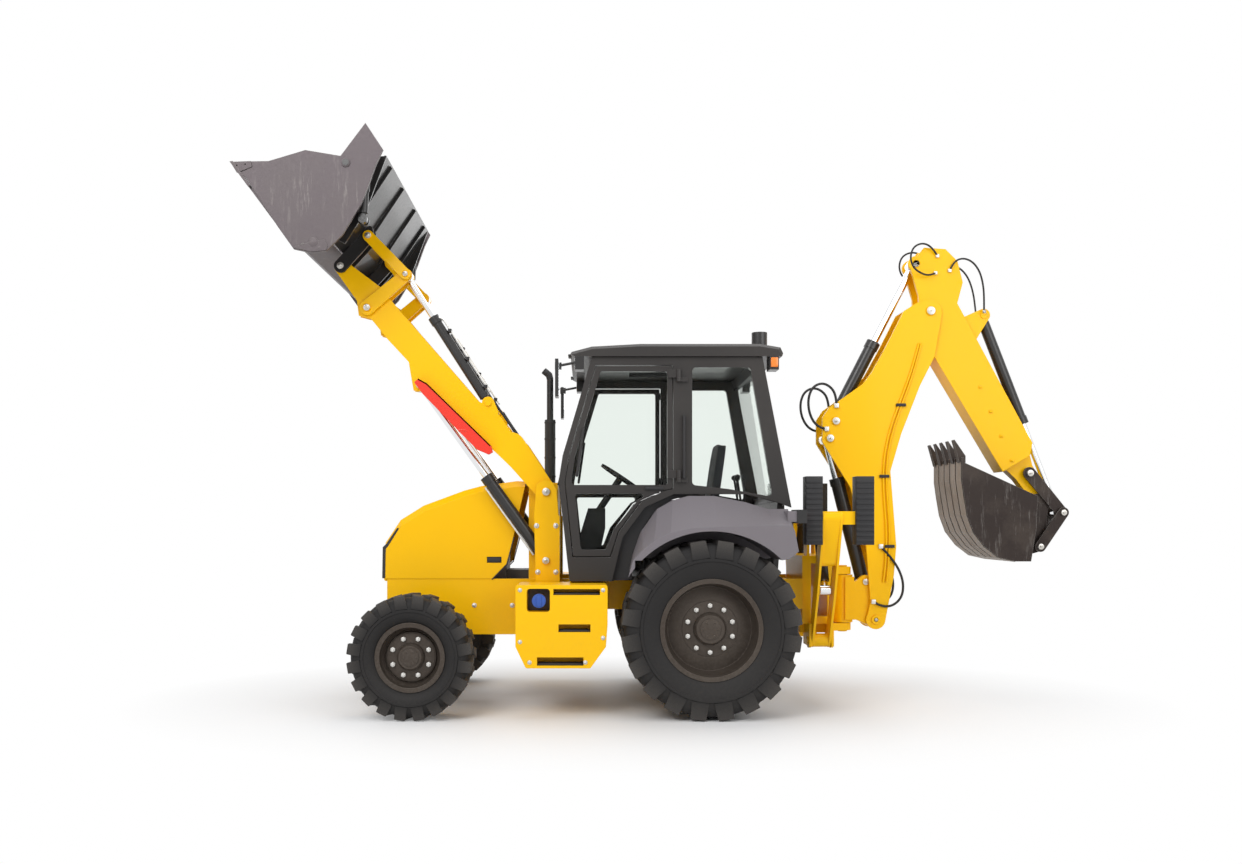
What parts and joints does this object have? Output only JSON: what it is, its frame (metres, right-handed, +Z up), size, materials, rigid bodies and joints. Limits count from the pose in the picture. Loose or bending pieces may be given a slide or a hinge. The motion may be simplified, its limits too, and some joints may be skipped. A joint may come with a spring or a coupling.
{
  "type": "backhoe loader",
  "caption": "Backhoe loader with a raised clam-opening loader bucket, enclosed cab, folded digging arm and side stabilizer legs.",
  "frame": {"origin": "centre of the plan outline, on the ground under the tyres", "axes": "+X towards the rear (digging arm), +Y to the machine's right, +Z up"},
  "size_m": [6.493, 2.36, 4.316],
  "materials": {
    "yellow": "gloss paint",
    "chassis_yellow": "gloss paint",
    "cab_grey": "satin paint",
    "fender_grey": "moulded",
    "bucket_grey": "worn paint",
    "black": "satin paint",
    "rim_bronze": "satin paint",
    "tyre": "rubber",
    "chrome": "hard chrome",
    "glass": "clear",
    "iron": "cast",
    "trim": "moulded",
    "seat": "woven",
    "dig_steel": "worn paint"
  },
  "bodies": {
    "machine": {"chassis_frame": "chassis_yellow", "engine_block": "iron", "axles": "black", "side_boxes": "yellow", "exhaust_stack": "black", "cab_frame": "cab_grey", "cab_roof": "cab_grey", "cab_glass": "glass", "rear_fenders": "fender_grey", "controls": "trim", "lamps_mirrors": "trim", "backhoe_frame": "chassis_yellow"},
    "hood": {"hood": "yellow"},
    "steering": {"steering_wheel": "trim"},
    "seat": {"seat_base": "black", "seat_cushions": "seat"},
    "loader_arms": {"loader_arms": "yellow"},
    "lift_barrels": {"lift_barrels": "black"},
    "lift_rods": {"lift_rods": "chrome"},
    "tilt_barrels": {"tilt_barrels": "black"},
    "tilt_rods": {"tilt_rods": "chrome"},
    "tilt_levers": {"tilt_levers": "yellow"},
    "tilt_links": {"tilt_links": "yellow"},
    "bucket_back": {"bucket_back": "black"},
    "bucket_clam": {"bucket_clam": "bucket_grey"},
    "clam_rams": {"clam_rams": "black"},
    "clam_rods": {"clam_rods": "chrome"},
    "swing_casting": {"swing_casting": "yellow"},
    "boom": {"boom": "yellow"},
    "boom_ram": {"boom_ram": "black"},
    "boom_rod": {"boom_rod": "chrome"},
    "crowd_ram": {"crowd_ram": "black"},
    "crowd_rod": {"crowd_rod": "chrome"},
    "dipper": {"dipper": "yellow"},
    "dipper_extension": {"dipper_extension": "yellow"},
    "hoe_ram": {"hoe_ram": "black"},
    "hoe_rod": {"hoe_rod": "chrome"},
    "idler_links": {"idler_links": "black"},
    "hoe_links": {"hoe_links": "black"},
    "hoe_bucket": {"hoe_bucket": "dig_steel"},
    "door_left": {"door_left": "cab_grey", "door_glass_left": "glass"},
    "knuckle_left": {"knuckle_left": "black"},
    "front_wheel_left": {"front_tyre_left": "tyre", "front_rim_left": "rim_bronze"},
    "rear_wheel_left": {"rear_tyre_left": "tyre", "rear_rim_left": "rim_bronze"},
    "door_right": {"door_right": "cab_grey", "door_glass_right": "glass"},
    "knuckle_right": {"knuckle_right": "black"},
    "front_wheel_right": {"front_tyre_right": "tyre", "front_rim_right": "rim_bronze"},
    "rear_wheel_right": {"rear_tyre_right": "tyre", "rear_rim_right": "rim_bronze"},
    "stabilizer_left": {"stabilizer_left": "yellow"},
    "stabilizer_ram_left": {"stabilizer_ram_left": "black"},
    "stabilizer_rod_left": {"stabilizer_rod_left": "chrome"},
    "stabilizer_right": {"stabilizer_right": "yellow"},
    "stabilizer_ram_right": {"stabilizer_ram_right": "black"},
    "stabilizer_rod_right": {"stabilizer_rod_right": "chrome"}
  },
  "joints": [
    {"name": "loader_lift", "type": "hinge", "parent": "machine", "child": "loader_arms", "pos_m": [-0.9995, 0, 1.684], "axis": [0, -1, 0], "range_deg": [0, 86]},
    {"name": "lift_barrel_pivot", "type": "hinge", "parent": "machine", "child": "lift_barrels", "pos_m": [-1.0015, 0, 1.15], "axis": [0, -1, 0], "range_deg": [-0.01, 77.41]},
    {"name": "lift_rod_slide", "type": "slide", "parent": "lift_barrels", "child": "lift_rods", "axis": [-0.5834, 0, 0.8122], "range_m": [-0.70296, 0.0005]},
    {"name": "bucket_tilt", "type": "hinge", "parent": "loader_arms", "child": "bucket_back", "pos_m": [-2.6005, 0, 3.443], "axis": [0, 1, 0], "range_deg": [-90, 15]},
    {"name": "tilt_lever_pivot", "type": "hinge", "parent": "loader_arms", "child": "tilt_levers", "pos_m": [-2.3935, 0, 3.117], "axis": [0, 1, 0], "range_deg": [-60.85, 10.15]},
    {"name": "tilt_link_pivot", "type": "hinge", "parent": "tilt_levers", "child": "tilt_links", "pos_m": [-2.0925, 0, 3.374], "axis": [0, 1, 0], "range_deg": [-6.78, 40.65]},
    {"name": "tilt_barrel_pivot", "type": "hinge", "parent": "loader_arms", "child": "tilt_barrels", "pos_m": [-1.4545, 0, 2.38], "axis": [0, 1, 0], "range_deg": [-8.6, 1.44]},
    {"name": "tilt_rod_slide", "type": "slide", "parent": "tilt_barrels", "child": "tilt_rods", "axis": [-0.5402, 0, 0.8416], "range_m": [-0.05943, 0.35409]},
    {"name": "clam_open", "type": "hinge", "parent": "bucket_back", "child": "bucket_clam", "pos_m": [-2.4145, 0, 4.032], "axis": [0, -1, 0], "range_deg": [-55, 0]},
    {"name": "clam_ram_pivot", "type": "hinge", "parent": "bucket_back", "child": "clam_rams", "pos_m": [-2.3085, 0, 3.65], "axis": [0, -1, 0], "range_deg": [-0.4665, 0.01]},
    {"name": "clam_rod_slide", "type": "slide", "parent": "clam_rams", "child": "clam_rods", "axis": [0.0468, 0, 0.9989], "range_m": [-0.1252, 0.0005]},
    {"name": "hood_lift", "type": "hinge", "parent": "machine", "child": "hood", "pos_m": [-2.2935, 0, 0.99], "axis": [0, -1, 0], "range_deg": [0, 60]},
    {"name": "door_left", "type": "hinge", "parent": "machine", "child": "door_left", "pos_m": [0.0115, -0.772, 1.8], "axis": [0, 0, 1], "range_deg": [0, 70]},
    {"name": "door_right", "type": "hinge", "parent": "machine", "child": "door_right", "pos_m": [0.0115, 0.772, 1.8], "axis": [0, 0, -1], "range_deg": [0, 70]},
    {"name": "seat_swivel", "type": "hinge", "parent": "machine", "child": "seat", "pos_m": [0.1265, 0, 1.04], "axis": [0, 0, 1], "range_deg": [0, 180]},
    {"name": "steer_left", "type": "hinge", "parent": "machine", "child": "knuckle_left", "pos_m": [-1.9735, -0.79, 0.46], "axis": [0, 0, 1], "range_deg": [-35, 35]},
    {"name": "steer_right", "type": "hinge", "parent": "machine", "child": "knuckle_right", "pos_m": [-1.9735, 0.79, 0.46], "axis": [0, 0, 1], "range_deg": [-35.01, 35.01]},
    {"name": "steering_wheel_turn", "type": "hinge", "parent": "machine", "child": "steering", "pos_m": [-0.4135, 0, 1.8], "axis": [0.5547, 0, 0.8321], "range_deg": [-420.01, 420.01]},
    {"name": "front_wheel_left_spin", "type": "hinge", "parent": "knuckle_left", "child": "front_wheel_left", "pos_m": [-1.9735, -0.925, 0.46], "axis": [0, 1, 0], "continuous": true},
    {"name": "rear_wheel_left_spin", "type": "hinge", "parent": "machine", "child": "rear_wheel_left", "pos_m": [0.2265, -0.865, 0.66], "axis": [0, 1, 0], "continuous": true},
    {"name": "front_wheel_right_spin", "type": "hinge", "parent": "knuckle_right", "child": "front_wheel_right", "pos_m": [-1.9735, 0.925, 0.46], "axis": [0, 1, 0], "continuous": true},
    {"name": "rear_wheel_right_spin", "type": "hinge", "parent": "machine", "child": "rear_wheel_right", "pos_m": [0.2265, 0.865, 0.66], "axis": [0, 1, 0], "continuous": true},
    {"name": "swing", "type": "hinge", "parent": "machine", "child": "swing_casting", "pos_m": [1.4265, 0, 0.8], "axis": [0, 0, 1], "range_deg": [-90, 90]},
    {"name": "boom_lift", "type": "hinge", "parent": "swing_casting", "child": "boom", "pos_m": [1.6695, 0, 0.653], "axis": [0, 1, 0], "range_deg": [0, 110]},
    {"name": "boom_ram_pivot", "type": "hinge", "parent": "swing_casting", "child": "boom_ram", "pos_m": [1.5945, 0, 0.96], "axis": [0, 1, 0], "range_deg": [-0.01, 123.74]},
    {"name": "boom_rod_slide", "type": "slide", "parent": "boom_ram", "child": "boom_rod", "axis": [-0.2468, 0, 0.9691], "range_m": [-0.0005, 0.38966]},
    {"name": "dipper_crowd", "type": "hinge", "parent": "boom", "child": "dipper", "pos_m": [2.1155, 0, 3.167], "axis": [0, -1, 0], "range_deg": [0, 105]},
    {"name": "crowd_ram_pivot", "type": "hinge", "parent": "boom", "child": "crowd_ram", "pos_m": [1.3445, 0, 2.27], "axis": [0, -1, 0], "range_deg": [-0.01, 3.21]},
    {"name": "crowd_rod_slide", "type": "slide", "parent": "crowd_ram", "child": "crowd_rod", "axis": [0.4566, 0, 0.8897], "range_m": [-0.64979, 0.0005]},
    {"name": "dipper_extend", "type": "slide", "parent": "dipper", "child": "dipper_extension", "axis": [0.5178, 0, -0.8555], "range_m": [0, 1]},
    {"name": "hoe_bucket_curl", "type": "hinge", "parent": "dipper_extension", "child": "hoe_bucket", "pos_m": [3.0465, 0, 1.629], "axis": [0, -1, 0], "range_deg": [0, 150]},
    {"name": "idler_pivot", "type": "hinge", "parent": "dipper_extension", "child": "idler_links", "pos_m": [2.9365, 0, 1.847], "axis": [0, -1, 0], "range_deg": [-0.01, 111.23]},
    {"name": "hoe_link_pivot", "type": "hinge", "parent": "idler_links", "child": "hoe_links", "pos_m": [3.2005, 0, 1.525], "axis": [0, -1, 0], "range_deg": [-40.78, 0.01]},
    {"name": "hoe_ram_pivot", "type": "hinge", "parent": "dipper_extension", "child": "hoe_ram", "pos_m": [2.5725, 0, 3.146], "axis": [0, -1, 0], "range_deg": [-0.01, 14.7]},
    {"name": "hoe_rod_slide", "type": "slide", "parent": "hoe_ram", "child": "hoe_rod", "axis": [0.3613, 0, -0.9325], "range_m": [-0.60395, 0.0005]},
    {"name": "stabilizer_left", "type": "hinge", "parent": "machine", "child": "stabilizer_left", "pos_m": [1.1615, -0.38, 0.515], "axis": [-1, 0, 0], "range_deg": [-88, 0]},
    {"name": "stabilizer_ram_left_pivot", "type": "hinge", "parent": "machine", "child": "stabilizer_ram_left", "pos_m": [1.1615, -0.3, 1.45], "axis": [-1, 0, 0], "range_deg": [-0.01, 5.83]},
    {"name": "stabilizer_rod_left_slide", "type": "slide", "parent": "stabilizer_ram_left", "child": "stabilizer_rod_left", "axis": [0, -0.4299, -0.9029], "range_m": [-0.0005, 0.62791]},
    {"name": "stabilizer_right", "type": "hinge", "parent": "machine", "child": "stabilizer_right", "pos_m": [1.1615, 0.38, 0.515], "axis": [1, 0, 0], "range_deg": [-88, 0]},
    {"name": "stabilizer_ram_right_pivot", "type": "hinge", "parent": "machine", "child": "stabilizer_ram_right", "pos_m": [1.1615, 0.3, 1.45], "axis": [1, 0, 0], "range_deg": [-0.01, 5.83]},
    {"name": "stabilizer_rod_right_slide", "type": "slide", "parent": "stabilizer_ram_right", "child": "stabilizer_rod_right", "axis": [0, 0.4299, -0.9029], "range_m": [-0.0005, 0.62791]}
  ],
  "couplings": [
    {"joint": "lift_barrel_pivot", "follows": "loader_lift", "ratio": 0.9},
    {"joint": "lift_rod_slide", "follows": "loader_lift", "m_per_rad": -0.468},
    {"joint": "tilt_lever_pivot", "follows": "bucket_tilt", "ratio": 0.676},
    {"joint": "tilt_link_pivot", "follows": "bucket_tilt", "ratio": -0.4515},
    {"joint": "tilt_barrel_pivot", "follows": "bucket_tilt", "ratio": 0.0954},
    {"joint": "tilt_rod_slide", "follows": "bucket_tilt", "m_per_rad": -0.2251},
    {"joint": "clam_ram_pivot", "follows": "clam_open", "ratio": 0.0083},
    {"joint": "clam_rod_slide", "follows": "clam_open", "m_per_rad": 0.1299},
    {"joint": "steer_right", "follows": "steer_left", "ratio": 1},
    {"joint": "steering_wheel_turn", "follows": "steer_left", "ratio": 12},
    {"joint": "boom_ram_pivot", "follows": "boom_lift", "ratio": 1.1248},
    {"joint": "boom_rod_slide", "follows": "boom_lift", "m_per_rad": 0.2027},
    {"joint": "crowd_ram_pivot", "follows": "dipper_crowd", "ratio": 0.0305},
    {"joint": "crowd_rod_slide", "follows": "dipper_crowd", "m_per_rad": -0.3543},
    {"joint": "idler_pivot", "follows": "hoe_bucket_curl", "ratio": 0.7415},
    {"joint": "hoe_link_pivot", "follows": "hoe_bucket_curl", "ratio": -0.2718},
    {"joint": "hoe_ram_pivot", "follows": "hoe_bucket_curl", "ratio": 0.0979},
    {"joint": "hoe_rod_slide", "follows": "hoe_bucket_curl", "m_per_rad": -0.2305},
    {"joint": "stabilizer_ram_left_pivot", "follows": "stabilizer_left", "ratio": -0.0661},
    {"joint": "stabilizer_rod_left_slide", "follows": "stabilizer_left", "m_per_rad": -0.4085},
    {"joint": "stabilizer_ram_right_pivot", "follows": "stabilizer_right", "ratio": -0.0661},
    {"joint": "stabilizer_rod_right_slide", "follows": "stabilizer_right", "m_per_rad": -0.4085}
  ]
}
